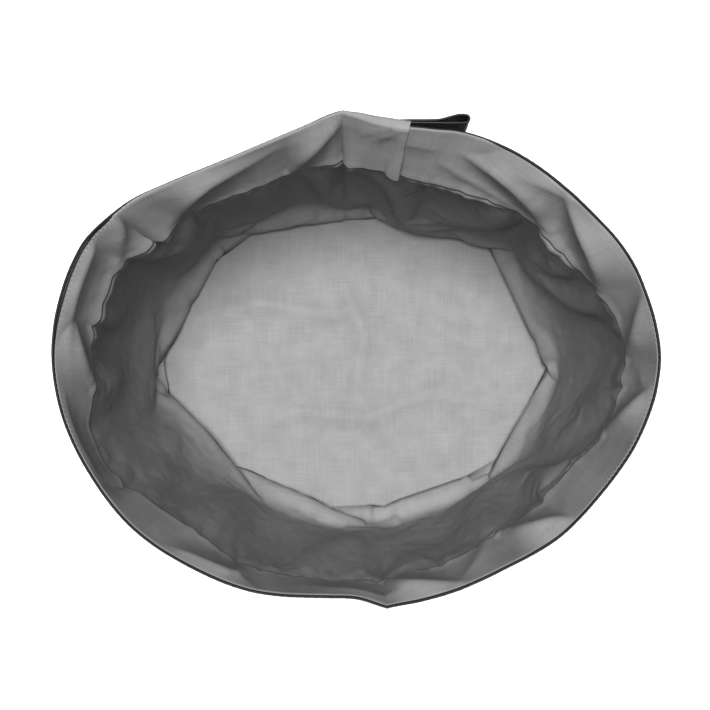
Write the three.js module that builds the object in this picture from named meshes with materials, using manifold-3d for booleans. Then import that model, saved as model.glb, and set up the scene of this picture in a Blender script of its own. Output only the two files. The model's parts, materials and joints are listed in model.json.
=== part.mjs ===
// A free-standing fabric laundry bag: a black woven shell and a grey coated lining, sewn to an oval base,
// with a grey facing band round the open mouth, piped edges and a webbing loop to hang it up by.
// Millimetres, +Z up. The origin is on the floor, at the centre of the bag's outer box. The mouth faces up,
// the back, with the seam and the loop, is at +Y.

import * as THREE from "three";
import { LoftGeometry } from "three/addons/geometries/LoftGeometry.js";
import { mergeVertices } from "three/addons/utils/BufferGeometryUtils.js";
import Module from "manifold-3d";

// Driving dimensions.
const HEIGHT = 480; // floor to the top of the mouth's piping
const BASE_HALF_WIDTH = 184; // the oval base, along X
const BASE_HALF_DEPTH = 148; // the oval base, along Y
const SHELL = 0.8; // thickness of the shell fabric
const LINING = 0.6; // thickness of the lining fabric
const FACING = 0.8; // thickness of the facing band, with its turned edges
const BOARD = 1.5; // thickness of the board that keeps the base flat
const GAP = 0.3; // clearance between pieces that lie on each other
const FACING_DEPTH = 55; // height of the facing band
const PIPING_RADIUS = 1; // the cord in the mouth's edge and round the base
const WEBBING = 1.5; // thickness of the loop's webbing
const WEBBING_WIDTH = 25;
const LOOP_LENGTH = 60; // the loop's free length
const ROOT_LENGTH = 16; // the tail of the loop that is sewn to the shell
const STATIONS = 60; // steps round the bag

// The mouth as it stands open: [degrees anticlockwise from +X, distance from the axis].
// It is slightly creased at 93 and 278 degrees, where the bag is folded flat for packing.
const MOUTH = [
  [0, 203], [10, 199.5], [20, 195], [30, 186.5], [42, 178.5], [55, 172], [66, 166], [77, 157.5],
  [86, 158], [93, 161.5], [104, 157], [115, 155.5], [125, 158.5], [135, 167.5], [147, 185.5], [156, 197],
  [166, 201], [178, 203], [190, 200.5], [205, 193], [218, 187], [232, 178], [245, 171.5], [260, 162.5],
  [270, 160.5], [278, 165.5], [292, 169], [305, 172.7], [318, 181], [332, 188], [345, 197],
];

// Heights and insets worked out from them. An inset is a distance inwards from the shell's outer face.
const SHELL_TOP = HEIGHT - 2 * PIPING_RADIUS - GAP;
const TAPER_TOP = SHELL_TOP - FACING_DEPTH; // the wall is upright above here
const BOARD_BOTTOM = SHELL + GAP;
const LINING_BOTTOM = BOARD_BOTTOM + BOARD + GAP;
const LINING_INSET = SHELL + GAP;
const FACING_INSET = LINING_INSET + LINING + GAP;
const LAP_INSET = FACING_INSET + FACING + GAP; // the facing's end lies inside its own start
const SEAM_ANGLE = 78; // where the back seam and the facing's lapped end are
const LAP_ANGLE = 6; // how far the facing's end passes over its start
const LAP_RISE_ANGLE = 12; // the stretch in which the end steps inwards
const ANGLES = Array.from({ length: STATIONS }, (_, i) => (360 * i) / STATIONS);
const WALL_ROWS = [0.15, 0.35, 0.5, 0.65, 0.85, 1]; // heights of the wall's sections, as shares of the taper

const MATERIALS = {
  shell: new THREE.MeshStandardMaterial({ color: 0x17181a, roughness: 0.75 }),
  lining: new THREE.MeshStandardMaterial({ color: 0x7d7d7c, roughness: 0.6 }),
  facing: new THREE.MeshStandardMaterial({ color: 0x8b8b8a, roughness: 0.6 }),
  piping: new THREE.MeshStandardMaterial({ color: 0x111213, roughness: 0.6 }),
  webbing: new THREE.MeshStandardMaterial({ color: 0x0d0d0e, roughness: 0.5 }),
  thread: new THREE.MeshStandardMaterial({ color: 0x1a1a1b, roughness: 0.55 }),
  grey_thread: new THREE.MeshStandardMaterial({ color: 0x8f8f8e, roughness: 0.55 }),
  board: new THREE.MeshStandardMaterial({ color: 0x2a2b2d, roughness: 0.5 }),
};

const wasm = await Module();
wasm.setup();

const bag = new THREE.Group();

function add(name, geometry, material) {
  const mesh = new THREE.Mesh(geometry, material);
  mesh.name = name;
  bag.add(mesh);
  return mesh;
}

// The mouth's outline as a smooth periodic function of the angle.
const turn = (knots, by) => knots.map(([angle, reach]) => [angle + by, reach]);
const wrapped = [...turn(MOUTH, -360), ...MOUTH, ...turn(MOUTH, 360)];
const outline = new THREE.CubicInterpolant(
  wrapped.map(([angle]) => angle),
  wrapped.map(([, reach]) => reach),
  1,
);
const mouthReach = (angle) => outline.evaluate(THREE.MathUtils.euclideanModulo(angle, 360))[0];

// Distance from the axis to the shell's outer face, at an angle and a height.
function wallReach(angle, z) {
  const turned = THREE.MathUtils.degToRad(angle);
  const base = 1 / Math.hypot(Math.cos(turned) / BASE_HALF_WIDTH, Math.sin(turned) / BASE_HALF_DEPTH);
  return THREE.MathUtils.lerp(base, mouthReach(angle), THREE.MathUtils.smoothstep(z, 0, TAPER_TOP));
}

// The plan position at an angle and a height, moved inwards by inset.
function plan(angle, z, inset) {
  const turned = THREE.MathUtils.degToRad(angle);
  const reach = wallReach(angle, z) - inset;
  return new THREE.Vector2(reach * Math.cos(turned), reach * Math.sin(turned));
}

// Turns a closed geometry into a solid that can be cut.
function solidOf(geometry) {
  const bare = new THREE.BufferGeometry().setAttribute("position", geometry.toNonIndexed().getAttribute("position"));
  const merged = mergeVertices(bare, 1e-4);
  return new wasm.Manifold(
    new wasm.Mesh({
      numProp: 3,
      vertProperties: merged.getAttribute("position").array,
      triVerts: new Uint32Array(merged.index.array),
    }),
  );
}

// The first geometry with the second cut out of it.
function cut(geometry, cutter) {
  const mesh = solidOf(geometry).subtract(solidOf(cutter)).getMesh();
  const made = new THREE.BufferGeometry();
  made.setAttribute("position", new THREE.BufferAttribute(mesh.vertProperties, 3));
  made.setIndex(new THREE.BufferAttribute(mesh.triVerts, 1));
  made.computeVertexNormals();
  return made;
}

// The solid inside the wall, inset from the shell's outer face, with a section at each height.
function core(inset, heights) {
  const sections = heights.map((z) => ANGLES.map((angle) => {
    const point = plan(angle, z, inset);
    return new THREE.Vector3(point.x, point.y, z);
  }));
  return new LoftGeometry(sections, { capStart: true, capEnd: true });
}

// A fabric tube from bottom to top, with its outer face at inset.
function tube(inset, thickness, bottom, top) {
  const heights = [bottom, ...WALL_ROWS.map((share) => share * TAPER_TOP), top];
  const past = 1; // the cutter passes both ends
  return cut(core(inset, heights), core(inset + thickness, [bottom - past, ...heights, top + past]));
}

// A round cord that goes round the bag, with the centre of its section at inset and z.
function cord(inset, z) {
  const sides = 8;
  const sections = [...ANGLES, ANGLES[0]].map((angle) => Array.from({ length: sides }, (_, i) => {
    const turned = (-2 * Math.PI * i) / sides;
    const point = plan(angle, z, inset - PIPING_RADIUS * Math.cos(turned));
    return new THREE.Vector3(point.x, point.y, z + PIPING_RADIUS * Math.sin(turned));
  }));
  return new LoftGeometry(sections);
}

// An oval sheet that lies flat inside the bag's base, its edge inset from the shell's outer face.
function oval(inset, bottom, thickness) {
  const shape = new THREE.Shape(ANGLES.map((angle) => plan(angle, 0, inset)));
  return new THREE.ExtrudeGeometry(shape, { depth: thickness, bevelEnabled: false }).translate(0, 0, bottom);
}

function shell() {
  add("shell_wall", tube(0, SHELL, SHELL + GAP, SHELL_TOP), MATERIALS.shell);
  add("shell_base", oval(0, 0, SHELL), MATERIALS.shell);
  add("rim_piping", cord(PIPING_RADIUS, SHELL_TOP + GAP + PIPING_RADIUS), MATERIALS.piping);
  add("base_piping", cord(-GAP - PIPING_RADIUS, PIPING_RADIUS + GAP), MATERIALS.piping);
}

function lining() {
  add("lining_wall", tube(LINING_INSET, LINING, LINING_BOTTOM, SHELL_TOP - GAP), MATERIALS.lining);
  add("lining_base", oval(FACING_INSET, LINING_BOTTOM, LINING), MATERIALS.lining);
  add("base_board", oval(LINING_INSET, BOARD_BOTTOM, BOARD), MATERIALS.board);
}

// The facing runs clockwise from the back seam all the way round, and its end laps over its start.
function facing() {
  const start = SEAM_ANGLE + LAP_ANGLE;
  const insetAt = (travelled) => {
    const stepped = THREE.MathUtils.smoothstep(travelled, 360 - LAP_RISE_ANGLE, 360);
    return THREE.MathUtils.lerp(FACING_INSET, LAP_INSET, stepped);
  };
  const face = (depth) => [...ANGLES, 360, 360 + LAP_ANGLE].map((travelled) =>
    plan(start - travelled, SHELL_TOP, insetAt(travelled) + depth));
  const shape = new THREE.Shape([...face(0), ...face(FACING).reverse()]);
  const band = new THREE.ExtrudeGeometry(shape, { depth: FACING_DEPTH, bevelEnabled: false });
  add("rim_facing", band.translate(0, 0, SHELL_TOP - FACING_DEPTH), MATERIALS.facing);
}

// Two rows of stitches hold the turned hem at the facing's lapped end.
function facingStitches() {
  const thread = { width: 0.6, thickness: 0.4, endMargin: 4 };
  const rows = [7, 10]; // distance of each row from the facing's end, along the mouth
  const end = plan(SEAM_ANGLE, SHELL_TOP, LAP_INSET + FACING + GAP);
  const before = plan(SEAM_ANGLE + LAP_ANGLE, SHELL_TOP, LAP_INSET + FACING + GAP);
  const along = before.clone().sub(end).normalize();
  const inwards = new THREE.Vector2(-along.y, along.x);
  const length = FACING_DEPTH - 2 * thread.endMargin;
  rows.forEach((distance, i) => {
    const row = add(
      `facing_stitch_row_${i + 1}`,
      new THREE.BoxGeometry(thread.width, thread.thickness, length),
      MATERIALS.grey_thread,
    );
    const place = end.clone().addScaledVector(along, distance).addScaledVector(inwards, thread.thickness);
    row.position.set(place.x, place.y, SHELL_TOP - FACING_DEPTH / 2);
    row.rotation.z = along.angle();
  });
}

// The loop is one strip of webbing folded in half. Both its ends are sewn to the shell as a flat root; the
// rest swings about the root's edge. In the loop's own frame the fold line of that swing is the Z axis,
// the loop runs along +X, and the shell is on the -Y side.
function hangLoop() {
  const doubled = 2 * WEBBING;
  const lobe = { start: 0.62 * LOOP_LENGTH, peak: 0.87 * LOOP_LENGTH, bulge: 5.6 };
  const slack = 0.4; // clearance between the root and the free part, at the fold line
  const low = -doubled;

  const outer = new THREE.Shape();
  outer.moveTo(slack, low);
  outer.lineTo(LOOP_LENGTH - 3, low);
  outer.quadraticCurveTo(LOOP_LENGTH, low, LOOP_LENGTH, low + 4);
  outer.bezierCurveTo(LOOP_LENGTH, lobe.bulge, lobe.peak, lobe.bulge + 0.5, lobe.peak - 4, lobe.bulge - 1.5);
  outer.quadraticCurveTo(lobe.start + 6, 0.8, lobe.start, 0);
  outer.lineTo(slack, 0);

  // The eye's outline stays the webbing's own thickness inside the loop's.
  const eye = new THREE.Path();
  eye.moveTo(lobe.start + 4, low + WEBBING);
  eye.quadraticCurveTo(lobe.start + 7, -0.4, lobe.peak - 4, lobe.bulge - WEBBING - 1.1);
  eye.bezierCurveTo(
    lobe.peak, lobe.bulge - WEBBING + 0.4, LOOP_LENGTH - WEBBING, lobe.bulge - WEBBING,
    LOOP_LENGTH - WEBBING, low + 4,
  );
  eye.quadraticCurveTo(LOOP_LENGTH - WEBBING, low + WEBBING, LOOP_LENGTH - 4, low + WEBBING);
  outer.holes.push(eye);
  const extruded = { depth: WEBBING_WIDTH, bevelEnabled: false, curveSegments: 6 };
  const bottom = SHELL_TOP - 2 - WEBBING_WIDTH;

  // The root lies flat on the shell, left of the seam, and its outer face holds the fold line.
  const rootEnd = plan(SEAM_ANGLE + LAP_ANGLE, SHELL_TOP, -GAP);
  const rootStart = plan(SEAM_ANGLE + 2 * LAP_ANGLE, SHELL_TOP, -GAP);
  const outwards = rootEnd.clone().sub(rootStart).normalize().rotateAround(new THREE.Vector2(), Math.PI / 2);
  const fold = rootEnd.clone().addScaledVector(outwards, doubled);

  const loop = add("hang_loop", new THREE.ExtrudeGeometry(outer, extruded), MATERIALS.webbing);
  loop.position.set(fold.x, fold.y, bottom);

  const root = new THREE.Group();
  root.position.set(fold.x, fold.y, bottom + WEBBING_WIDTH / 2);
  root.rotation.z = outwards.angle() - Math.PI / 2;
  bag.add(root);
  const tail = new THREE.Mesh(new THREE.BoxGeometry(ROOT_LENGTH, doubled, WEBBING_WIDTH), MATERIALS.webbing);
  tail.name = "hang_loop_root";
  tail.position.set(-ROOT_LENGTH / 2 - slack, -doubled / 2, 0);
  root.add(tail);

  // A bar of tight stitches at each end of the root takes the load.
  // The first bar is far enough from the fold line for the loop to fold back over it.
  const tack = { width: 2, thickness: 0.6, margin: 2, fromFold: 5.5 };
  [-tack.fromFold, -ROOT_LENGTH + tack.margin].forEach((x, i) => {
    const bar = new THREE.Mesh(
      new THREE.BoxGeometry(tack.width, tack.thickness, WEBBING_WIDTH - 2 * tack.margin),
      MATERIALS.thread,
    );
    bar.name = `loop_bartack_${i + 1}`;
    bar.position.set(x, GAP + tack.thickness / 2, 0);
    root.add(bar);
  });
}

shell();
lining();
facing();
facingStitches();
hangLoop();

// Centre the bag's outer box on the origin. The floor stays at z = 0.
const centre = new THREE.Box3().setFromObject(bag).getCenter(new THREE.Vector3());
bag.position.set(-centre.x, -centre.y, 0);

export default bag;
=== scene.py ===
"""The looks of the laundry bag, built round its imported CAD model. Metres, +Z up, +Y to the back.

The wall is one sheet of points, placed by the angle round the bag's axis and the depth under the rim. It
starts from the CAD wall's own outline. Its lip, under the rim, leans inwards with the folds in LIP_FOLDS, and
the rest then settles as cloth. The shell, the lining and the facing are layers of that sheet.
"""

import json
import math

import bpy
import numpy as np
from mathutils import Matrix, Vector


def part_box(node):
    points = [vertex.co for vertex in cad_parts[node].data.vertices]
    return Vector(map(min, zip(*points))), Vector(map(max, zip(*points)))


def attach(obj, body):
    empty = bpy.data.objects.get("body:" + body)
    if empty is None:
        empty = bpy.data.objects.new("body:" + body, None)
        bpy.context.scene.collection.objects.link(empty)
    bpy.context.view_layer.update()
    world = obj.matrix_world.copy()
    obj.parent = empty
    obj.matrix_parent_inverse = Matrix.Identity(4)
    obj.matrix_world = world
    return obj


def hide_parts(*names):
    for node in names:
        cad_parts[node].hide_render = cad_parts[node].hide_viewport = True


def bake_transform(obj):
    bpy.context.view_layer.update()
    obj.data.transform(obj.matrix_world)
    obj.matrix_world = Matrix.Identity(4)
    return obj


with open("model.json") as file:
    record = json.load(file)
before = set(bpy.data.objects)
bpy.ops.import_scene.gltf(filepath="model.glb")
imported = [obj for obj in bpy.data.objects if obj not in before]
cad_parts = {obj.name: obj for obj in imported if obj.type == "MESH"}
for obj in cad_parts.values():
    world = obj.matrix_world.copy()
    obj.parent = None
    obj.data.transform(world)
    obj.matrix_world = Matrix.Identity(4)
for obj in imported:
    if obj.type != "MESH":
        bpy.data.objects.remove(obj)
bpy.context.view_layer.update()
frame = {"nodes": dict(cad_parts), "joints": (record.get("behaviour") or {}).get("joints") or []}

MM = 0.001

# Measured on the frame.
PLAN_LOW, PLAN_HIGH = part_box("shell_base")
AXIS = (PLAN_LOW + PLAN_HIGH) / 2  # the bag's own axis, which the outline is measured from
RIM_LOW, RIM_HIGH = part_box("rim_piping")
PIPING_RADIUS = (RIM_HIGH.z - RIM_LOW.z) / 2
WALL_LOW, WALL_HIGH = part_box("shell_wall")
FACING_LOW, FACING_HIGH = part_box("rim_facing")
FACING_DEPTH = FACING_HIGH.z - FACING_LOW.z
LINING_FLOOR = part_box("lining_base")[1].z
BASE_BOTTOM = WALL_LOW.z
RIM_TOP = WALL_HIGH.z
WALL_HEIGHT = RIM_TOP - BASE_BOTTOM
FOLD_LINE = Vector(frame["joints"][0]["pos_m"])  # the hang loop's hinge
WALL_RADIUS = (WALL_HIGH.x - WALL_LOW.x + WALL_HIGH.y - WALL_LOW.y) / 4

# The sheet's layers, as distances inwards from the shell's outer face.
SHELL = 0.8 * MM
LINING_INSET = 1.2 * MM
LINING = 0.6 * MM
FACING_INSET = 2.1 * MM
FACING = 0.8 * MM
THREAD_RADIUS = 0.22 * MM

# The grid of the wall: rows are close together down to FINE_DEPTH.
COLUMNS = 720
FINE_DEPTH = 0.096
FINE_STEP = 1.6 * MM
COARSE_STEP = 5.5 * MM
CLOTH_COLUMNS = 170  # the coarser grid that settles as cloth
CLOTH_ROWS = 62

# Features round the bag. Angles are in degrees, from +X towards +Y.
CREASES = [(93.2, 3.0 * MM, 3.2), (277.0, 3.2 * MM, 3.2)]  # flat-fold creases: angle, height, half width
CREASE_POINT = 1.1  # 2 for a round crease, 1 for a sharp one
SEAM_ANGLE = 77.0  # the back seam, where the facing's end laps over its start
LAP_ANGLE = 6.0
LAP_INSET = 1.3 * MM  # how much further in the band is where it lies over its start
FREE_ANGLE = 7.0  # the band's end stands off the wall over this angle
FREE_LIFT = 3.5 * MM
LIP_END = 0.056  # the wall narrows from here, just under the lip
NECK_DEPTH = 0.15  # to its neck here
NECK = 7 * MM  # how far the neck is inside the rim
ROLLED = (77.0, 144.0)  # the facing rolls outwards over the piping between these angles
SLIPPED = (153.0, 168.0)  # and between these it has slipped down, so that a strip of shell shows

# The lip, from the rim down to the facing's lower edge, is given as it looks from VIEW_HEIGHT above the rim.
# FACING_EDGE is how far inside the rim that edge is seen: [degrees, mm].
VIEW_HEIGHT = 1.1
FACING_EDGE = [
    [0, 20], [6, 22.5], [15, 27], [22, 33], [29, 35], [36, 30], [42, 31], [50, 36], [58, 38], [66, 37],
    [72, 34], [77, 30], [80, 28], [86, 29], [92, 33], [97, 30], [102, 25], [108, 22], [116, 22.5], [126, 22],
    [134, 22.5], [141, 24], [145, 31], [150, 35], [155, 31], [159, 27], [166, 27], [172, 25.5], [178, 24],
    [184, 24.5], [187.5, 23.5], [190.5, 18.5], [194, 13], [199, 11], [204, 10], [208, 13], [214, 19],
    [221, 21.5], [227, 21.5], [233, 18.5], [240, 14], [248, 13], [256, 11], [265, 8], [271, 10], [277, 15.5],
    [284, 18], [292, 17], [300, 19], [310, 22], [320, 24.5], [334, 25.5], [341, 21], [346, 20.5],
    [352, 23], [357, 21.5],
]

# The folds of the lip. A line is a list of [degrees, mm inside the rim, steepness]. On one side of it the
# sheet falls away more steeply, by that many times more, and this fades over so many mm. That side is under
# a line that runs towards higher angles, and at the lower angles of one that runs down. The other side is
# flatter.
FOLD_CONTRAST = 1.8
FLAT_SIDE = 0.4  # how much flatter it is there
FLAT_FADE = 4.0
FLATTEST = 0.45  # of the lip's usual steepness
LIP_FOLDS = [
    # Right: three rolls that run down from the back to the right.
    {"line": [(-1, 22, 0.6), (4, 17, 2.5), (8, 11, 2), (11.5, 3, 0.6)], "fade": 5},
    {"line": [(14.5, 28, 0.4), (17, 26, 2.5), (21, 24, 6), (26, 20, 7), (30, 15, 5), (33, 11, 3), (37, 4, 1)],
     "fade": 4},
    {"line": [(38, 4, 0.8), (42, 7, 1.3), (47, 11, 0.4)], "fade": 4},
    {"line": [(33, 29, 0.5), (37, 27, 3), (43, 24, 7), (50, 21, 6), (56, 18, 2.5), (61, 14, 0.8)],
     "fade": 3.5},
    {"line": [(60, 11, 0.15), (57.5, 7, 0.35), (55.5, 3, 0.2)], "fade": 5},
    {"line": [(36, 31.5, 0.5), (44, 30.5, 1.4), (52, 30.5, 1.4), (60, 28.5, 1), (66, 23, 0.4)], "fade": 3},
    {"line": [(70, 13, 0.4), (76, 10, 0.5)], "fade": 2},
    # Back: short wrinkles at the seam, then the two long pleats.
    {"line": [(79.5, 2, 0.6), (82.5, 5.5, 1.1), (85, 9.5, 0.4)], "fade": 1.6},
    {"line": [(81, 1.5, 0.5), (85, 4, 0.6), (88, 9, 0.3)], "fade": 1.6},
    {"line": [(96, 30, 0.3), (92.5, 16, 0.3), (93.2, 2, 0.2)], "fade": 10},
    {"line": [(93.5, 1, 0.5), (96, 9, 1.4), (100, 15, 2.4), (104, 19, 2.8), (108, 21.5, 2), (112, 23, 0.5)],
     "fade": 8},
    {"line": [(112, 4, 0.2), (118, 6.5, 0.5), (124, 8.5, 1.5), (130, 11, 3.8), (134, 14.5, 5), (138, 19, 4),
              (142, 24, 1)], "fade": 6.5},
    # Left: a sharp crease, a deep fold along the rim, and the flap under it.
    {"line": [(149.7, 2, 1), (150.5, 9, 2), (152.5, 16, 2.2), (155.5, 22, 1.8), (160, 28, 0.6)], "fade": 3},
    {"line": [(156, 2, 0.5), (158, 7, 1.8), (162, 8.5, 2.8), (168, 8.5, 2.8), (172.5, 9, 2)], "fade": 8},
    {"line": [(177, 2, 0.3), (175, 5, 0.8), (172.5, 10, 1.5), (174.5, 14, 3.5), (178, 18.5, 6),
              (181.5, 22, 5), (187, 25, 1)], "fade": 3.5},
    {"line": [(188, 3, 0.5), (194, 2.5, 1.2), (201, 2.5, 0.8), (205, 2, 0.3)], "fade": 3},
    {"line": [(210, 15, 0.2), (208.5, 8, 0.6), (207, 2.5, 0.4)], "fade": 9},
    # Front: the lip is narrow, and steep under its edge.
    {"line": [(226.5, 4, 0.4), (230, 6.5, 1.4), (235, 7.5, 3), (240, 8, 3.5), (243, 12.5, 1)], "fade": 6},
    {"line": [(243, 11, 0.5), (241, 7.5, 0.6), (245.5, 2, 0.5)], "fade": 3},
    {"line": [(258, 6, 0.2), (264, 4.5, 0.8), (270, 4, 1.2), (276, 5, 0.8), (280, 8, 0.3)], "fade": 6},
    {"line": [(273, 19, 0.6), (276, 17, 3), (282, 14.5, 7), (287, 11, 6), (291, 7, 3), (294.5, 3, 0.8)],
     "fade": 6},
    {"line": [(294.5, 3, 0.3), (299, 9, 0.7), (304, 18, 0.9)], "fade": 6},
    {"line": [(306, 25, 0.5), (310, 22.5, 3), (316, 18, 5.5), (319.5, 13.5, 4), (321.5, 9, 2),
              (322.5, 4, 0.4)], "fade": 7},
    # Lower right.
    {"line": [(342, 22, 0.6), (345.5, 19, 3), (349, 15, 3.5), (351.5, 10, 2.4), (353, 6, 1.4), (354, 2, 0.3)],
     "fade": 5},
    {"line": [(353, 3, 0.4), (355, 9, 0.9), (357.5, 12, 0.3)], "fade": 2},
]


def smoothstep(low, high, value):
    share = np.clip((value - low) / (high - low), 0, 1)
    return share * share * (3 - 2 * share)


def degrees_past(angle, at):
    """How far an angle is past another one, from -180 to 180."""
    return (angle - at + 180) % 360 - 180


def unit(vectors):
    return vectors / np.linalg.norm(vectors, axis=-1, keepdims=True)


def lengths_along(line):
    """How far along a line each of its points is."""
    return np.append(0, np.cumsum(np.linalg.norm(np.diff(line, axis=0), axis=1)))


def between(angle, stretch, fade):
    """1 inside a stretch of angles, falling to 0 over fade degrees outside it."""
    middle = (stretch[0] + stretch[1]) / 2
    half = (stretch[1] - stretch[0]) / 2
    away = np.abs(degrees_past(angle, middle))
    return 1 - smoothstep(half, half + fade, away)


def spline(values, position, periodic):
    """Values at positions between whole ones, along the first axis, on a smooth Catmull-Rom curve."""
    whole = np.floor(position).astype(int)
    t = position - whole
    weights = [
        -0.5 * t + t**2 - 0.5 * t**3,
        1 - 2.5 * t**2 + 1.5 * t**3,
        0.5 * t + 2 * t**2 - 1.5 * t**3,
        -0.5 * t**2 + 0.5 * t**3,
    ]
    total = 0
    for offset, weight in zip((-1, 0, 1, 2), weights):
        index = whole + offset
        index = index % len(values) if periodic else np.clip(index, 0, len(values) - 1)
        total = total + values[index] * weight.reshape(weight.shape + (1,) * (values.ndim - 1))
    return total


def outline(height):
    """Distance from the axis to the CAD wall's outer face at each of its stations, at one height."""
    points = np.array([v.co for v in frame["nodes"]["shell_wall"].data.vertices])
    ring = points[np.abs(points[:, 2] - height) < 0.1 * MM]
    x = ring[:, 0] - AXIS.x
    y = ring[:, 1] - AXIS.y
    step = 6
    station = np.round(np.degrees(np.arctan2(y, x)) / step).astype(int) % (360 // step)
    reach = np.zeros(360 // step)
    np.maximum.at(reach, station, np.hypot(x, y))
    return reach


MOUTH_STATIONS = outline(RIM_TOP)
BASE_STATIONS = outline(BASE_BOTTOM)


def round_bag(stations, angle):
    return spline(stations, angle / 360 * len(stations), True)


def outwards_at(angle):
    turned = np.radians(angle)
    return np.stack([np.cos(turned), np.sin(turned), 0 * turned], axis=-1)


def placed(angle, reach, z):
    """Points at an angle round the axis and a distance from it, at a height."""
    turned = np.radians(angle)
    return np.stack([AXIS.x + reach * np.cos(turned), AXIS.y + reach * np.sin(turned), z], axis=-1)


def near_line(x, y, stops):
    """For points x and y: their distance from a line of [x, y, value] stops, how far they are on its steep
    side, and its value at the nearest place."""
    nearest = np.full(x.shape, np.inf)
    side = np.zeros(x.shape)
    value = np.zeros(x.shape)
    for start, end in zip(stops[:-1], stops[1:]):
        run = end[:2] - start[:2]
        off_x = x - start[0]
        off_y = y - start[1]
        t = np.clip((off_x * run[0] + off_y * run[1]) / (run @ run), 0, 1)
        distance = np.hypot(off_x - t * run[0], off_y - t * run[1])
        closer = distance < nearest
        side = np.where(closer, (run[0] * off_y - run[1] * off_x) / math.hypot(*run), side)
        value = np.where(closer, start[2] + t * (end[2] - start[2]), value)
        nearest = np.where(closer, distance, nearest)
    return nearest, side, value


def steepness(angle, inset, fold):
    """How much one fold adds to the lip's steepness, over a grid of angles and insets."""
    stops = np.array(fold["line"], float)
    middle = stops[:, 0].mean()
    mm_per_degree = math.radians(WALL_RADIUS / MM)
    stops[:, 0] = (stops[:, 0] - middle) * mm_per_degree
    x = degrees_past(angle, middle) * mm_per_degree
    away, side, strength = near_line(x, inset / MM, stops)
    steep = FOLD_CONTRAST * strength * np.exp(-away / fold["fade"])
    flat = -FLAT_SIDE * np.minimum(strength, 1) * np.exp(-away / FLAT_FADE)
    return flat + (steep - flat) * smoothstep(-0.5, 0.5, side)


def rolled_sum(values, weights):
    """Values averaged with their neighbours, along a last axis that is closed."""
    half = len(weights) // 2
    shifts = range(-half, half + 1)
    return sum(np.roll(values, shift, axis=-1) * weight for shift, weight in zip(shifts, weights))


def lip_inset(angles, depths):
    """How far inside the rim the lip is, at each depth (rows) and angle (columns)."""
    step = 0.5
    places = np.arange(0, 360, step)
    seen = np.arange(0, 50, 0.25) * MM  # insets as they look from above
    angle, inset = np.meshgrid(places, seen)
    steep = np.maximum(FLATTEST, 1 + sum(steepness(angle, inset, fold) for fold in LIP_FOLDS))
    fallen = np.cumsum(steep, axis=0) - steep[:1]  # depths, in a unit that differs from angle to angle

    edge_step = 2
    stops = np.array(FACING_EDGE + [[360, FACING_EDGE[0][1]]], float)
    edge = np.interp(np.arange(0, 360, edge_step), stops[:, 0], stops[:, 1]) * MM
    edge = spline(edge, places / edge_step, True)
    unit = np.array([np.interp(edge[i], seen, fallen[:, i]) for i in range(len(places))])
    softness = 1.3  # degrees
    bell = np.exp(-((np.arange(-12, 13) * step / softness) ** 2) / 2)
    unit = np.exp(rolled_sum(np.log(unit), bell / bell.sum()))

    mouth = round_bag(MOUTH_STATIONS, places)
    found = np.empty((len(depths), len(places)))
    for i in range(len(places)):
        depth = fallen[:, i] * FACING_DEPTH / unit[i]
        true = seen - (mouth[i] - seen) * depth / VIEW_HEIGHT
        found[:, i] = np.interp(depths, depth, true)
    found = rolled_sum(found, np.array([1, 2, 4, 2, 1]) / 10)
    return spline(found.T, angles / step, True).T


def wall_reach(angles, depths):
    """Distance from the axis to the shell's outer face, at each depth (rows) and angle (columns)."""
    angle, depth = np.meshgrid(angles, depths)
    mouth = round_bag(MOUTH_STATIONS, angle)
    for at, height, width in CREASES:
        away = np.abs(degrees_past(angle, at))
        crease = height * np.exp(-((away / width) ** CREASE_POINT))
        mouth = mouth + crease * (1 - smoothstep(0.1, 0.4, depth))
    slip = 0.6 * MM * between(angle, SLIPPED, 12) * smoothstep(0, 5 * MM, depth)
    roll = 1.2 * MM * between(angle, ROLLED, 8) * (1 - smoothstep(0, 12 * MM, depth))
    rounding = 3 * MM  # the lip rounds over under the facing's lower edge
    below = np.maximum(depths - FACING_DEPTH, 0)
    lip_depths = np.minimum(depths, FACING_DEPTH) + rounding * (1 - np.exp(-below / rounding))
    lip = lip_inset(angles, lip_depths)
    inset = lip + (NECK - lip) * smoothstep(LIP_END, NECK_DEPTH, depth)
    upper = mouth + roll - slip - inset
    share = smoothstep(NECK_DEPTH, WALL_HEIGHT, depth)
    return upper * (1 - share) + round_bag(BASE_STATIONS, angle) * share


def rim_lift(angle):
    """The rim isn't level: how far it stands above its CAD height."""
    turned = np.radians(angle)
    wave = 1.6 * np.sin(2 * turned + 0.6) + 1.1 * np.sin(5 * turned + 2.1) + 0.7 * np.sin(9 * turned)
    peaks = sum(2.2 * np.exp(-((degrees_past(angle, at) / 9) ** 2)) for at, _, _ in CREASES)
    return (wave + peaks) * MM


def sheet_at(angles, depths):
    """The shell's outer face before it settles, as a grid of points."""
    angle, depth = np.meshgrid(angles, depths)
    z = RIM_TOP - depth + rim_lift(angle) * (1 - smoothstep(0, 0.3, depth))
    return placed(angle, wall_reach(angles, depths), z)


def new_mesh(name, points, faces, uv=None):
    """A mesh object from arrays of points, of quads and of each corner's UV."""
    mesh = bpy.data.meshes.new(name)
    faces = faces.tolist() if isinstance(faces, np.ndarray) else faces
    mesh.from_pydata(points.reshape(-1, 3).tolist(), [], faces)
    if uv is not None:
        layer = mesh.uv_layers.new(name="UVMap")
        layer.data.foreach_set("uv", np.asarray(uv, np.float32).ravel())
    mesh.shade_smooth()
    mesh.validate()
    piece = bpy.data.objects.new(name, mesh)
    bpy.context.scene.collection.objects.link(piece)
    return piece


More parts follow.
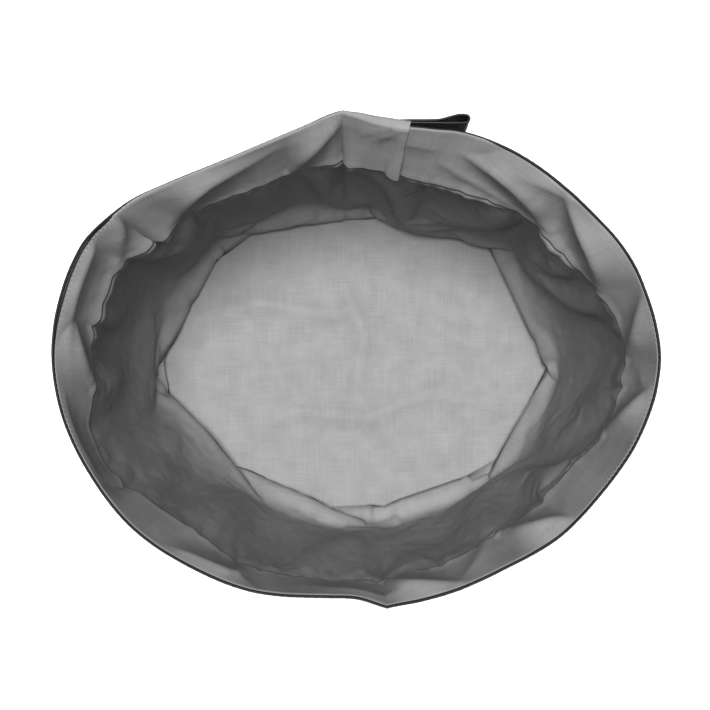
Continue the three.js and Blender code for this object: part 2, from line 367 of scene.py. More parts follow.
def grid_faces(rows, columns, closed, looped):
    """Quads of a grid of points, stored row by row. closed joins its last column to its first, and looped its
    last row to its first."""
    across = columns if closed else columns - 1
    along = rows if looped else rows - 1
    row, column = np.meshgrid(np.arange(along), np.arange(across), indexing="ij")
    right = (column + 1) % columns
    below = (row + 1) % rows
    corners = [
        row * columns + column,
        row * columns + right,
        below * columns + right,
        below * columns + column,
    ]
    return np.stack(corners, axis=-1).reshape(-1, 4)


def grid_uv(u, v):
    """UVs of the corners of grid_faces. u and v have a value for each line of the grid, and one more where
    it is closed or looped."""
    row, column = np.meshgrid(np.arange(len(v) - 1), np.arange(len(u) - 1), indexing="ij")
    corners = [(row, column), (row, column + 1), (row + 1, column + 1), (row + 1, column)]
    return np.stack([np.stack([u[c], v[r]], axis=-1) for r, c in corners], axis=2).reshape(-1, 2)


def disturbance(angle, depth):
    """Small smooth waves that start the cloth off folding. They are the same each run."""
    random = np.random.RandomState(11)
    total = 0
    for _ in range(40):
        turns = random.randint(2, 9)
        waves = random.uniform(0.5, 4)
        phases = random.uniform(0, 2 * math.pi, 2)
        total = total + np.sin(turns * np.radians(angle) + phases[0]) * np.sin(
            2 * math.pi * waves * depth / WALL_HEIGHT + phases[1]
        )
    free = smoothstep(0.06, 0.14, depth) * smoothstep(0, 0.03, WALL_HEIGHT - depth)
    return 0.5 * MM * total * free


def run_cloth(points, faces, pins, frames, gravity, **settings):
    """Where the points of a cloth are after some frames. pins holds a point in place where it is 1."""
    cloth = new_mesh("settling", points, faces)
    group = cloth.vertex_groups.new(name="pins")
    for index, weight in enumerate(pins.ravel()):
        group.add([index], float(weight), "REPLACE")
    modifier = cloth.modifiers.new("Cloth", "CLOTH")
    modifier.settings.vertex_group_mass = "pins"
    for key, value in settings.items():
        setattr(modifier.settings, key, value)
    modifier.settings.effector_weights.gravity = gravity
    modifier.collision_settings.use_collision = False
    modifier.point_cache.frame_start = 1
    modifier.point_cache.frame_end = frames
    scene = bpy.context.scene
    for number in range(1, frames + 1):
        scene.frame_set(number)
    settled = cloth.evaluated_get(bpy.context.evaluated_depsgraph_get()).to_mesh()
    found = np.zeros(len(settled.vertices) * 3)
    settled.vertices.foreach_get("co", found)
    scene.frame_set(1)
    mesh = cloth.data
    bpy.data.objects.remove(cloth)
    bpy.data.meshes.remove(mesh)
    return found.reshape(points.shape)


def settled_wall(angles, depths):
    """The shell's outer face. It hangs and crumples as a cloth that is slightly too large for its outline."""
    wall = sheet_at(angles, depths)
    coarse_angles = np.arange(CLOTH_COLUMNS) * 360 / CLOTH_COLUMNS
    coarse_depths = np.linspace(0, WALL_HEIGHT, CLOTH_ROWS)
    angle, depth = np.meshgrid(coarse_angles, coarse_depths)
    start = sheet_at(coarse_angles, coarse_depths)
    held_above = 1 - smoothstep(0.04, 0.11, depth)
    held_below = 1 - smoothstep(1 * MM, 14 * MM, WALL_HEIGHT - depth)
    settled = run_cloth(
        start + outwards_at(angle) * disturbance(angle, depth)[..., None],
        grid_faces(CLOTH_ROWS, CLOTH_COLUMNS, True, False),
        np.maximum(held_above, held_below),
        frames=45,
        gravity=1,
        quality=6,
        mass=0.15,
        air_damping=4,
        tension_stiffness=25,
        compression_stiffness=25,
        shear_stiffness=12,
        bending_stiffness=6,
        bending_damping=2,
        pin_stiffness=5,
        shrink_min=-0.03,
        shrink_max=-0.03,
    )
    moved = spline(settled - start, depths / WALL_HEIGHT * (CLOTH_ROWS - 1), False).swapaxes(0, 1)
    wall = wall + spline(moved, angles / 360 * CLOTH_COLUMNS, True).swapaxes(0, 1)
    wall[..., 2] = np.maximum(wall[..., 2], BASE_BOTTOM)
    return wall


def row_depths():
    fine = np.arange(0, FINE_DEPTH - FINE_STEP / 2, FINE_STEP)
    rest = np.linspace(FINE_DEPTH, WALL_HEIGHT, round((WALL_HEIGHT - FINE_DEPTH) / COARSE_STEP) + 1)
    return np.concatenate([fine, rest])


def inward_normals(points):
    """Unit normals of a grid that is closed in its columns, slightly smoothed."""
    around = np.roll(points, -1, axis=1) - np.roll(points, 1, axis=1)
    down = np.gradient(points, axis=0)
    normal = unit(np.cross(around, down))
    normal = normal + 0.7 * (np.roll(normal, -1, axis=1) + np.roll(normal, 1, axis=1))
    padded = np.concatenate([normal[:1], normal, normal[-1:]])
    return unit(normal + 0.35 * (padded[:-2] + padded[2:]))


def slab(name, outer, inner, u, v, closed):
    """A closed sheet between two grids of points. u and v are the UVs of its columns and rows."""
    points = np.concatenate([inner, outer[::-1]])
    v = np.concatenate([v, v[::-1], v[:1]])
    rows, columns = points.shape[:2]
    faces = grid_faces(rows, columns, closed, True)
    uv = grid_uv(u, v)
    if not closed:
        half = rows // 2
        row = np.arange(half - 1)
        for column, flip in ((0, 1), (columns - 1, -1)):
            back = rows - 1 - row
            corners = [row, row + 1, back - 1, back]
            cap = np.stack([c * columns + column for c in corners[::flip]], axis=-1)
            faces = np.concatenate([faces, cap])
            corner_v = np.stack([v[row], v[row + 1], v[row + 1], v[row]][::flip], axis=-1)
            corner_u = np.full(corner_v.shape, u[column])
            uv = np.concatenate([uv, np.stack([corner_u, corner_v], axis=-1).reshape(-1, 2)])
    return new_mesh(name, points, faces, uv)


ANGLES = np.arange(COLUMNS) * 360 / COLUMNS
DEPTHS = row_depths()
AROUND = np.append(ANGLES, 360) / 360 * 2 * math.pi * WALL_RADIUS  # UV of each column, in metres
WALL = settled_wall(ANGLES, DEPTHS)
INWARDS = inward_normals(WALL)


def on_wall(angle, depth, inset):
    """Points of the wall, inset inwards, at arrays of angles and depths of the same shape."""
    column = (np.asarray(angle) % 360) / 360 * COLUMNS
    row = np.interp(depth, DEPTHS, np.arange(len(DEPTHS)))
    left = np.floor(column).astype(int)
    top = np.minimum(np.floor(row).astype(int), len(DEPTHS) - 2)
    across = (column - left)[..., None]
    down = (row - top)[..., None]

    def mixed(grid):
        right = (left + 1) % COLUMNS
        upper = grid[top, left % COLUMNS] * (1 - across) + grid[top, right] * across
        lower = grid[top + 1, left % COLUMNS] * (1 - across) + grid[top + 1, right] * across
        return upper * (1 - down) + lower * down

    return mixed(WALL) + mixed(INWARDS) * np.asarray(inset)[..., None]


def tube_points(line, radius, sides, closed, up):
    """Rings of points round a line. up is a direction that the line is never along."""
    if closed:
        along = np.roll(line, -1, axis=0) - np.roll(line, 1, axis=0)
    else:
        along = np.gradient(line, axis=0)
    along = unit(along)
    across = unit(np.cross(along, up))
    third = np.cross(across, along)
    turned = np.arange(sides) / sides * 2 * math.pi
    radius = np.broadcast_to(radius, (len(line),))[None, :, None]
    round_it = across[None] * np.cos(turned)[:, None, None] + third[None] * np.sin(turned)[:, None, None]
    return line[None] + round_it * radius


def ring_of_piping(name, line, radius):
    """A piped edge, a closed tube with the slight ripple of bias tape over a cord."""
    sides = 10
    length = lengths_along(np.concatenate([line, line[:1]]))
    ripple = 1 + 0.05 * np.sin(length[:-1] / (5.5 * MM) * 2 * math.pi) + 0.04 * np.sin(length[:-1] / 0.021)
    points = tube_points(line, radius * ripple, sides, True, (0, 0, 1))
    v = np.arange(sides + 1) / sides * 2 * math.pi * radius
    return new_mesh(name, points, grid_faces(sides, len(line), True, True), grid_uv(length, v))


def threads(name, lines, radius):
    """Many short lengths of thread, as one piece. Each line is some points, with the way out of the cloth."""
    sides = 6
    points, faces, uv = [], [], []
    count = 0
    for line, up in lines:
        thickness = radius * np.sqrt(np.sin(np.linspace(0.08, 0.92, len(line)) * math.pi))
        rings = tube_points(line, thickness, sides, False, up)
        faces.append(grid_faces(sides, len(line), False, True) + count)
        ends = np.arange(sides) * len(line) + count
        faces.append(ends[None])
        faces.append(ends[None, ::-1] + len(line) - 1)
        points.append(rings.reshape(-1, 3))
        length = np.linspace(0, np.linalg.norm(line[-1] - line[0]), len(line))
        v = np.arange(sides + 1) / sides * 2 * math.pi * radius
        uv.append(grid_uv(length, v))
        uv.append(np.zeros((2 * sides, 2)))
        count += sides * len(line)
    flat_faces = [face.tolist() for group in faces for face in group]
    return new_mesh(name, np.concatenate(points), flat_faces, np.concatenate(uv))


def stitch_row(places, length, inset, sag):
    """Lines of stitches. places gives (angle, depth) of points along the row, which is cut into stitches."""
    lines = []
    angle = np.array([p[0] for p in places], float)
    depth = np.array([p[1] for p in places], float)
    path = on_wall(angle, depth, np.full(len(angle), inset))
    run = lengths_along(path)
    count = int(run[-1] / length)
    for number in range(count):
        at = (number + np.linspace(0.08, 0.92, 6)) * length
        lift = sag * np.sin(np.linspace(0, math.pi, 6)) - 0.35 * sag
        stops = (np.interp(at, run, angle), np.interp(at, run, depth))
        line = on_wall(*stops, inset + lift)
        away = on_wall(*stops, inset + 1 * MM) - on_wall(*stops, np.full(6, inset))
        lines.append((line, away.mean(axis=0)))
    return lines


class Recipe:
    """A material, and short ways to add nodes to it."""

    def __init__(self, name, roughness, sheen=0.0, specular=0.5):
        self.material = bpy.data.materials.new(name)
        self.material.use_nodes = True
        self.tree = self.material.node_tree
        self.shader = self.tree.nodes["Principled BSDF"]
        self.shader.inputs["Roughness"].default_value = roughness
        self.shader.inputs["Sheen Weight"].default_value = sheen
        self.shader.inputs["Sheen Roughness"].default_value = 0.4
        self.shader.inputs["Specular IOR Level"].default_value = specular

    def node(self, kind, inputs=(), **settings):
        """A node. inputs maps a socket's name or number to a value or to another node's output."""
        made = self.tree.nodes.new("ShaderNode" + kind)
        for key, value in settings.items():
            setattr(made, key, value)
        for key, value in dict(inputs).items():
            if isinstance(value, bpy.types.NodeSocket):
                self.tree.links.new(value, made.inputs[key])
            else:
                made.inputs[key].default_value = value
        return made

    def math(self, operation, first, second):
        return self.node("Math", {0: first, 1: second}, operation=operation).outputs[0]

    def place(self, space, scale):
        found = self.node("TexCoord").outputs[space]
        return self.node("Mapping", {"Vector": found, "Scale": scale}).outputs[0]

    def noise(self, space, scale, detail, roughness=0.5):
        """Noise from about 0 to 1. scale is its features for each metre, along and across."""
        place = self.place(space, scale)
        return self.node(
            "TexNoise", {"Vector": place, "Scale": 1.0, "Detail": detail, "Roughness": roughness}
        ).outputs["Fac"]

    def threads(self, space, pitch, direction):
        """A wave from 0 to 1 for each thread."""
        place = self.place(space, (1, 1, 1))
        return self.node(
            "TexWave",
            {"Vector": place, "Scale": 2 * math.pi / (20 * pitch), "Distortion": 0.0},
            bands_direction=direction,
        ).outputs["Fac"]

    def ramp(self, value, low, high, dark, light):
        """A colour from dark, where value is at most low, to light, where it is at least high."""
        share = self.node("MapRange", {"Value": value, "From Min": low, "From Max": high}).outputs[0]
        mixed = self.node("Mix", {"Factor": share, "A": (*dark, 1), "B": (*light, 1)}, data_type="RGBA")
        return mixed.outputs["Result"]

    def colour(self, value):
        self.tree.links.new(value, self.shader.inputs["Base Color"])

    def relief(self, layers):
        """Bump from (height, distance in metres, strength) layers."""
        normal = None
        for height, distance, strength in layers:
            inputs = {"Height": height, "Distance": distance, "Strength": strength}
            if normal is not None:
                inputs["Normal"] = normal
            normal = self.node("Bump", inputs).outputs[0]
        self.tree.links.new(normal, self.shader.inputs["Normal"])


def woven(name, dark, light, roughness, pitch, space="UV", ribs=1.0, slubs=0.5, creases=0.5, **shader):
    """Woven cloth: its threads, uneven yarns along and across, a soft mottle, and fine creases."""
    cloth = Recipe(name, roughness, **shader)
    warp = cloth.threads(space, pitch, "X")
    weft = cloth.threads(space, pitch, "Y")
    weave = cloth.math("MULTIPLY", warp, weft)
    along = cloth.noise(space, (30, 1100, 30), 3)
    across = cloth.noise(space, (1100, 25, 30), 3)
    yarns = cloth.math("ADD", along, across)
    mottle = cloth.noise(space, (45, 45, 45), 4, 0.6)
    tone = cloth.math("ADD", cloth.math("MULTIPLY", yarns, slubs), mottle)
    cloth.colour(cloth.ramp(tone, 0.3 + slubs * 0.7, 0.7 + slubs * 1.3, dark, light))
    crumple = cloth.noise(space, (60, 90, 60), 5, 0.6)
    cloth.relief(
        [
            (crumple, 0.8 * MM, creases),
            (yarns, 0.12 * MM, slubs),
            (weave, 0.1 * MM, ribs),
        ]
    )
    return cloth.material


def thread_finish(name, dark, light):
    """Sewing thread: a fine twist along it."""
    thread = Recipe(name, 0.55)
    twist = thread.threads("UV", 0.5 * MM, "DIAGONAL")
    patches = thread.noise("UV", (400, 400, 400), 2)
    thread.colour(thread.ramp(patches, 0.3, 0.7, dark, light))
    thread.relief([(twist, 0.05 * MM, 0.8)])
    return thread.material


def board_finish():
    """Pressed board, with long fibres and specks."""
    board = Recipe("pressed_board", 0.8)
    fibres = board.noise("Object", (400, 60, 60), 4)
    specks = board.noise("Object", (900, 900, 900), 2)
    tone = board.math("ADD", fibres, specks)
    board.colour(board.ramp(tone, 0.7, 1.3, (0.3, 0.28, 0.25), (0.46, 0.44, 0.4)))
    board.relief([(fibres, 0.2 * MM, 0.5)])
    return board.material


def grey(value):
    return (value, value, value)


MATERIALS = {
    "shell": woven(
        "shell_cloth", (0.006, 0.006, 0.0064), (0.016, 0.016, 0.0168), 0.55, 0.9 * MM,
        ribs=0.9, slubs=0.6, creases=0.5, sheen=0.03, specular=0.3,
    ),
    "lining": woven(
        "lining_cloth", grey(0.17), (0.25, 0.25, 0.248), 0.75, 0.6 * MM,
        ribs=0.8, slubs=0.7, creases=0.4, specular=0.3,
    ),
    "facing": woven(
        "facing_cloth", (0.108, 0.108, 0.107), (0.163, 0.163, 0.161), 0.68, 0.5 * MM,
        ribs=0.35, slubs=0.6, creases=0.35, specular=0.2,
    ),
    "piping": woven(
        "piping_cloth", grey(0.002), grey(0.006), 0.6, 0.5 * MM,
        ribs=0.6, slubs=0.4, creases=0.2, specular=0.2,
    ),
    "webbing": woven(
        "webbing_weave", grey(0.002), grey(0.006), 0.5, 0.8 * MM,
        ribs=0.8, slubs=0.5, creases=0.1, specular=0.2,
    ),
    "thread": thread_finish("black_thread", grey(0.006), grey(0.02)),
    "grey_thread": thread_finish("grey_thread", grey(0.13), grey(0.2)),
    "board": board_finish(),
}


def finished(piece, slot, *nodes, body="bag"):
    """Gives a piece the material of its slot, hides the CAD nodes it stands for, and attaches it to its body.
    """
    piece.data.materials.append(MATERIALS[slot])
    if nodes:
        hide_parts(*nodes)
    if body:
        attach(piece, body)
    return piece


def shell_wall():
    seam = 1.0 * MM * between(ANGLES, (SEAM_ANGLE, SEAM_ANGLE + 2.5), 1.0)  # the seam's overlap stands out
    outer = WALL - INWARDS * seam[None, :, None]
    piece = slab("shell_wall_cloth", outer, WALL + INWARDS * SHELL, AROUND, DEPTHS, True)
    return finished(piece, "shell", "shell_wall")


def lining_wall():
    """The lining starts under the facing, and ends on the base's lining."""
    keep = (DEPTHS > 9 * MM) & (DEPTHS < WALL_HEIGHT - (LINING_FLOOR - BASE_BOTTOM))
    inner = WALL[keep] + INWARDS[keep] * (LINING_INSET + LINING)
    outer = WALL[keep] + INWARDS[keep] * LINING_INSET
    piece = slab("lining_wall_cloth", outer, inner, AROUND, DEPTHS[keep], True)
    return finished(piece, "lining", "lining_wall")


def band_lift(run, share):
    """How far the free end of the facing stands off the wall, more towards its lower edge."""
    return FREE_LIFT * (1 - smoothstep(0, FREE_ANGLE, run)) * smoothstep(0.25, 1, share)


def puckers(angle, depth):
    """Small gathers along the rim's seam, strongest at the bag's left and right ends."""
    pitch = 3.2 * MM
    wave = np.sin(angle / 360 * 2 * math.pi * WALL_RADIUS / pitch * 2 * math.pi)
    uneven = 0.5 + 0.5 * np.sin(np.radians(angle) * 7 + 1) * np.sin(np.radians(angle) * 3)
    ends = np.maximum(between(angle % 360, (150, 192), 14), between(angle % 360, (335, 365), 14))
    return wave * (0.02 + 0.25 * ends * uneven) * MM * (1 - smoothstep(2 * MM, 7 * MM, depth))


def roll_over(run, back, front):
    """The band's top edge, which goes on from its first row, over the piping. It gives the rows of the band's
    back and front, from the edge on."""
    rows = 12
    angle = SEAM_ANGLE + run
    turned = np.radians(angle)
    inwards = -outwards_at(angle)
    up = np.array([0, 0, 1.0])
    rolled = 1 - smoothstep(ROLLED[1] - SEAM_ANGLE, ROLLED[1] - SEAM_ANGLE + 12, run)
    slipped = between(angle % 360, SLIPPED, 14)
    tucked = between(angle % 360, (60, 77), 6)  # the band covers half of the piping behind the loop

    reach = 1.2 * MM  # of the band's back from the middle of the piping
    normal = unit(front - back)
    centre = back - normal * reach
    tilt = np.arcsin(normal[:, 2])
    furthest = np.maximum(0.8 - 0.5 * slipped + 0.7 * tucked * (1 - rolled) + 2.25 * rolled, tilt + 0.1)
    swing = tilt + np.linspace(1, 0, rows, endpoint=False)[:, None] * (furthest - tilt)  # radians, 0 inwards
    across = np.cos(swing)
    narrowed = 0.5 + 0.5 * (1 - smoothstep(10, 18, run))
    across = np.where(across < 0, narrowed * across, across)  # the outer half of the roll
    spin = inwards[None] * across[..., None] + up * np.sin(swing)[..., None]
    reach = reach + 0.3 * MM * rolled * smoothstep(0.5, 3, swing)
    behind = centre[None] + spin * reach[..., None]
    drop = (0.5 + 0.5 * np.sin(turned * 11) * np.sin(turned * 5 + 1)) * MM
    behind = behind - up * (drop * smoothstep(2, 3.1, swing))[..., None]
    flared = 3.4 * MM * (1 - smoothstep(3, 17, run)) * smoothstep(0.9, 2.2, swing)
    behind = behind - inwards[None] * flared[..., None]
    return behind, behind + spin * FACING


def rim_facing():
    """The grey band inside the mouth. It runs anticlockwise from its free end, which lies over its start."""
    rows = 40
    step = 0.25
    turn_over = 7 * MM  # its width over the piping
    run = np.arange(0, 360 + LAP_ANGLE + step / 2, step)  # degrees from the free end
    angle = SEAM_ANGLE + run
    share = np.linspace(0, 1, rows)[:, None]  # down the band
    top = 0.3 * MM + 1.3 * MM * between(angle % 360, SLIPPED, 14)
    depth = top + (FACING_DEPTH - top) * share
    spread = np.broadcast_to(angle, depth.shape)

    over = 1 - smoothstep(LAP_ANGLE, LAP_ANGLE + 10, run)  # 1 where the band lies over its own start
    back_inset = FACING_INSET + LAP_INSET * over + band_lift(run, share) + puckers(angle, depth)
    hems = 0.15 * MM * smoothstep(0.86, 0.95, share) + 0.25 * MM * (1 - smoothstep(3.2, 4.2, run))
    back = on_wall(spread, depth, back_inset)
    front = on_wall(spread, depth, back_inset + FACING + hems)

    behind, before = roll_over(run, back[0], front[0])
    back = np.concatenate([behind, back])
    front = np.concatenate([before, front])
    u = angle / 360 * 2 * math.pi * WALL_RADIUS
    over_v = np.linspace(-turn_over, 0, len(behind), endpoint=False)
    v = np.concatenate([over_v, np.linspace(0, FACING_DEPTH, rows)])
    piece = slab("rim_facing_cloth", back, front, u, v, False)
    return finished(piece, "facing", "rim_facing")


def facing_stitches():
    """Two rows through the hem at the facing's free end."""
    stitch = 3 * MM
    bulge = 0.16 * MM
    radius_at_back = WALL_RADIUS / 1.18  # the bag is an oval
    for number, distance in enumerate((7 * MM, 10 * MM)):
        run = math.degrees(distance / radius_at_back)
        depth = np.linspace(2 * MM, FACING_DEPTH - 3 * MM, 40)
        inset = FACING_INSET + LAP_INSET + FACING + band_lift(run, depth / FACING_DEPTH) + 0.05 * MM
        angle = np.full(6, SEAM_ANGLE + run)
        lines = []
        for i in range(int((depth[-1] - depth[0]) / stitch)):
            stops = depth[0] + (i + np.linspace(0.1, 0.9, 6)) * stitch
            lift = np.interp(stops, depth, inset) + bulge * np.sin(np.linspace(0, math.pi, 6)) - 0.06 * MM
            line = on_wall(angle, stops, lift)
            away = on_wall(angle, stops, lift + 1 * MM) - line
            lines.append((line, away.mean(axis=0)))
        piece = threads(f"facing_stitches_{number + 1}", lines, THREAD_RADIUS)
        finished(piece, "grey_thread", f"facing_stitch_row_{number + 1}")


def rim_piping():
    """The cord sits on the rim, over the middle of the layers, and slightly thinner than its CAD part."""
    inset = 0.75 * MM
    lift = 0.4 * MM
    line = on_wall(ANGLES, 0 * ANGLES, np.full(COLUMNS, inset)) + np.array([0, 0, lift])
    return finished(ring_of_piping("rim_piping_cord", line, 0.9 * PIPING_RADIUS), "piping", "rim_piping")


def base_edge(angle, share):
    """Points of the base's ellipse, scaled by share, with their height left at 0."""
    reach = round_bag(BASE_STATIONS, angle) * share
    return placed(angle, reach, 0 * reach)


def disc(name, height_at, thickness, edge):
    """A closed round sheet, of rings of points. height_at gives its height at x and y."""
    columns = 180
    angles = np.arange(columns) * 360 / columns
    shares = np.append(np.linspace(1, 0.04, 54), 0.015)
    angle, share = np.meshgrid(angles, shares)
    top = base_edge(angle, share * edge)
    top[..., 2] = height_at(top[..., 0], top[..., 1])
    under = top.copy()
    under[..., 2] -= thickness
    points = np.concatenate([top[::-1], under])
    rows = len(points)
    faces = grid_faces(rows, columns, True, False).tolist()
    faces.append(list(range(columns))[::-1])
    faces.append([(rows - 1) * columns + i for i in range(columns)])
    flat = points.reshape(-1, 3)
    loops = [index for face in faces for index in face]
    return new_mesh(name, points, faces, flat[loops, :2])


def shell_base():
    def height(x, y):
        wave = np.sin(x / 0.047 + 1) * np.sin(y / 0.039) + 0.6 * np.sin((x + y) / 0.023)
        return BASE_BOTTOM - 0.3 * MM + 0.12 * MM * wave

    piece = disc("shell_base_cloth", height, 0.5 * MM, 1.0)
    return finished(piece, "shell", "shell_base")


FLOOR_CREASES = [  # the base's lining: lines of [x, y, height], in mm from the axis
    [(-170, 30, 2), (-95, 52, 6), (-20, 40, 5), (40, 66, 3), (90, 110, 1)],
    [(-120, -80, 1), (-60, -52, 5), (10, -58, 6), (70, -34, 5), (150, -48, 2)],
    [(-40, 120, 1), (-12, 70, 4), (8, 20, 5), (0, -30, 3), (20, -90, 1)],
    [(60, 40, 2), (110, 12, 5), (160, 20, 3)],
    [(-150, -30, 2), (-100, -18, 4), (-50, -10, 2)],
]


def lining_floor_height(x, y):
    x = (x - AXIS.x) / MM
    y = (y - AXIS.y) / MM
    total = 0.6 * np.sin(x / 31 + 1) * np.sin(y / 27) + 0.35 * np.sin((x - y) / 13 + 2)
    roundness, half_width = 2, 9  # mm
    for line in FLOOR_CREASES:
        away, _, height = near_line(x, y, np.array(line, float))
        away = np.sqrt(away**2 + roundness**2) - roundness
        total = total + height * np.exp(-((away / half_width) ** 1.4))
    edge = np.hypot(x / 184, y / 148)
    return LINING_FLOOR + np.maximum(total, 0) * MM * (1 - smoothstep(0.86, 0.98, edge))


def lining_base():
    piece = disc("lining_base_cloth", lining_floor_height, 0.5 * MM, 0.993)
    return finished(piece, "lining", "lining_base")


def base_piping():
    line = base_edge(ANGLES[::2], 1.0)
    line[:, 2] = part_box("base_piping")[0].z + PIPING_RADIUS
    return finished(ring_of_piping("base_piping_cord", line, PIPING_RADIUS), "piping", "base_piping")


def shell_topstitching():
    """Two rows down the back seam of the shell, and one above the base."""
    stitch = 3.6 * MM
    sag = -0.2 * MM
    depth = np.linspace(6 * MM, WALL_HEIGHT - 12 * MM, 120)
    lines = []
    for at in (SEAM_ANGLE + 0.4, SEAM_ANGLE + 2.1):
        lines += stitch_row([(at, d) for d in depth], stitch, -1.1 * MM, sag)
    around = np.linspace(0, 360, 361)
    lines += stitch_row([(a, WALL_HEIGHT - 9 * MM) for a in around], stitch, -0.1 * MM, sag)
    return finished(threads("shell_topstitching", lines, THREAD_RADIUS), "thread")


WEBBING = 1.5 * MM
STRAP_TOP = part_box("hang_loop")[1].z
STRAP_WIDTH = STRAP_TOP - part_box("hang_loop")[0].z
ROOT_LENGTH = FOLD_LINE.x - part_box("hang_loop_root")[0].x
STRAP_PATH = [  # the middle of the webbing, in mm along and out from the fold line
    (-16.4, -2.25), (-8, -2.25), (0, -2.25), (20, -2.3), (38, -2.5), (52, -2.6), (57.5, -2.1), (59.0, -0.6),
    (59.1, 1.0), (58.0, 2.3), (55.4, 2.9), (51.5, 2.7), (46.5, 1.5), (41.5, 0.1), (36, -0.65), (20, -0.75),
    (0, -0.75), (-8, -0.75), (-16.4, -0.75),
]


def strap_place(x, y, down):
    """A point of the strap: x along it from the fold line, y outwards, and down from its top edge. It leans
    with the shell at its root. Where it is free, its lower edge is a little nearer the bag."""
    free_lean = 0.14
    out_of_shell = y + 2 * WEBBING + 0.3 * MM
    fold_angle = math.degrees(math.atan2(FOLD_LINE.y - AXIS.y, FOLD_LINE.x - AXIS.x))
    depth = RIM_TOP - STRAP_TOP + down
    sewn = np.minimum(x, 0)
    angle = fold_angle - np.degrees(sewn / (FOLD_LINE.y - AXIS.y))
    shell = on_wall(angle, depth, np.zeros(x.shape))
    shell_top = on_wall(angle, np.full(x.shape, RIM_TOP - STRAP_TOP), np.zeros(x.shape))
    lean = shell[..., 1] - shell_top[..., 1]
    freed = smoothstep(0, 25 * MM, x)
    lean = lean * (1 - freed) - free_lean * down * freed
    base_y = shell_top[..., 1] + lean
    right = shell[..., 0] + np.maximum(x, 0)
    return np.stack([right, base_y + out_of_shell, STRAP_TOP - down + 0 * x], axis=-1)


def hang_loop():
    """One length of webbing: sewn to the shell, out along the bag, round its eye, and back to the shell."""
    stops = np.array(STRAP_PATH) * MM
    stops[0, 0] = stops[-1, 0] = -ROOT_LENGTH
    smooth = spline(stops, np.linspace(0, len(stops) - 1, 1200), False)
    run = lengths_along(smooth)
    length = np.linspace(0, run[-1], int(run[-1] / (0.27 * MM)))
    path = np.stack([np.interp(length, run, smooth[:, i]) for i in range(2)], axis=-1)
    along = unit(np.gradient(path, axis=0))
    out = np.stack([-along[:, 1], along[:, 0]], axis=-1)

    faces_across = 15
    across = np.linspace(0.5 * MM, STRAP_WIDTH - 0.5 * MM, faces_across)
    lower_edge = [STRAP_WIDTH - 0.1 * MM] * 2
    upper_edge = [0.1 * MM] * 2
    down = np.concatenate([across, lower_edge, across[::-1], upper_edge])
    side = np.concatenate([np.ones(faces_across), [0.6, -0.6], -np.ones(faces_across), [-0.6, 0.6]])
    ribs = 0.07 * MM * np.sin(length / (1.5 * MM) * 2 * math.pi)
    selvedge = 0.06 * MM * (1 - smoothstep(1.5 * MM, 2.5 * MM, np.minimum(down, STRAP_WIDTH - down)))
    half = WEBBING / 2 - 0.1 * MM + ribs[None, :] + selvedge[:, None]
    x = path[None, :, 0] + out[None, :, 0] * side[:, None] * half
    y = path[None, :, 1] + out[None, :, 1] * side[:, None] * half
    points = strap_place(x, y, np.broadcast_to(down[:, None], x.shape))
    rows, columns = x.shape
    faces = grid_faces(rows, columns, False, True)
    v = np.append(down, down[0])
    uv = grid_uv(length, v)
    caps = [[r * columns for r in range(rows)], [r * columns + columns - 1 for r in range(rows)][::-1]]
    start_uv = np.stack([0 * down, down], axis=-1)
    end_uv = np.stack([0 * down + length[-1], down[::-1]], axis=-1)
    uv = np.concatenate([uv, start_uv, end_uv])
    piece = new_mesh("hang_loop_webbing", points, faces.tolist() + caps, uv)
    finished(piece, "webbing", "hang_loop", "hang_loop_root", body=None)
    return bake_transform(piece)


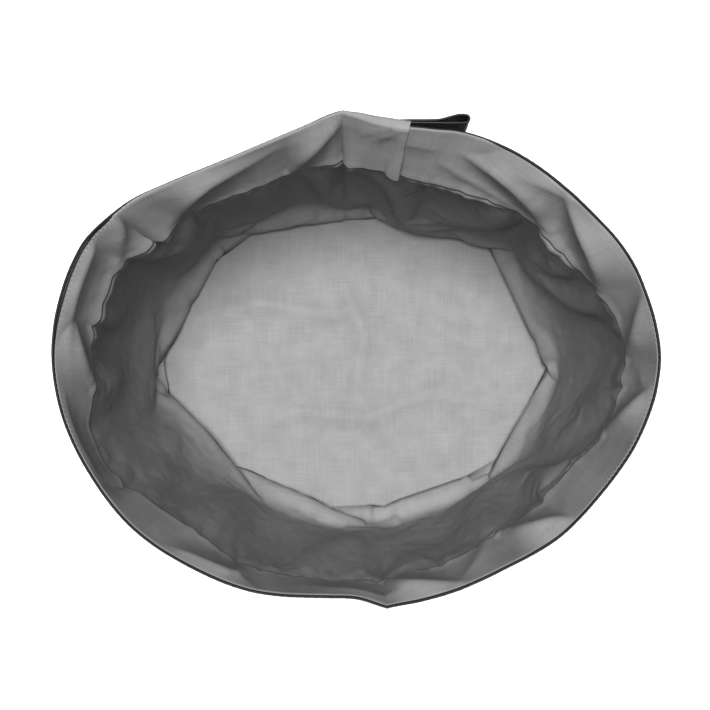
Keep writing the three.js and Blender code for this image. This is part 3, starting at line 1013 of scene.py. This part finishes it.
def bartacks():
    """A dense zigzag of thread at each end of the loop's root."""
    half_width = 0.9 * MM
    margin = 2.2 * MM
    zigs = 34
    along = np.linspace(0, 1, 2 * zigs * 3 + 1)
    swing = 2 * np.abs((along * zigs) % 1 - 0.5) * 2 - 1
    for number in (1, 2):
        low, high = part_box(f"loop_bartack_{number}")
        middle = (low.x + high.x) / 2 - FOLD_LINE.x
        x = middle + half_width * swing
        down = margin + along * (STRAP_WIDTH - 2 * margin)
        line = strap_place(x, np.full(x.shape, 0.12 * MM), down)
        piece = threads(f"loop_bartack_{number}_thread", [(line, (0.1, 1.0, 0.3))], 0.28 * MM)
        finished(piece, "thread", f"loop_bartack_{number}")


def base_board():
    board = frame["nodes"]["base_board"]
    board.data.materials.clear()
    board.data.materials.append(MATERIALS["board"])


def studio():
    """A pale floor, soft light from all round, and a large soft lamp high over the bag."""
    half = 3.0
    corners = np.array([(-half, -half, 0), (half, -half, 0), (half, half, 0), (-half, half, 0)], float)
    floor = new_mesh("floor", corners, [[0, 1, 2, 3]])
    pale = Recipe("floor_paint", 0.9, specular=0.1)
    patches = pale.noise("Object", (3, 3, 3), 2)
    pale.colour(pale.ramp(patches, 0.2, 0.8, grey(0.93), grey(0.95)))
    floor.data.materials.append(pale.material)

    scene = bpy.context.scene
    scene.world = bpy.data.worlds.new("soft_light")
    scene.world.use_nodes = True
    background = scene.world.node_tree.nodes["Background"]
    background.inputs["Color"].default_value = (1, 1, 1, 1)
    background.inputs["Strength"].default_value = 0.25

    light = bpy.data.lights.new("key", "AREA")
    light.shape = "DISK"
    light.size = 0.7
    light.energy = 170
    lamp = bpy.data.objects.new("key", light)
    lamp.location = (-0.08, 0.18, 3.0)
    lamp.rotation_mode = "QUATERNION"
    aim = Vector((AXIS.x, AXIS.y, RIM_TOP)) - lamp.location
    lamp.rotation_quaternion = aim.to_track_quat("-Z", "Y")
    scene.collection.objects.link(lamp)
    scene.view_settings.view_transform = "Standard"


def camera():
    """Looks straight down, centred a little off the bag's axis."""
    view_width = 0.4736  # at the rim
    sensor = 36
    data = bpy.data.cameras.new("camera")
    data.sensor_width = sensor
    data.lens = sensor * VIEW_HEIGHT / view_width
    holder = bpy.data.objects.new("camera", data)
    holder.location = (AXIS.x - 0.7 * MM, AXIS.y + 2 * MM, RIM_TOP + VIEW_HEIGHT)
    bpy.context.scene.collection.objects.link(holder)
    bpy.context.scene.camera = holder


shell_wall()
lining_wall()
rim_facing()
facing_stitches()
rim_piping()
shell_base()
lining_base()
base_piping()
shell_topstitching()
hang_loop()
bartacks()
base_board()
studio()
camera()
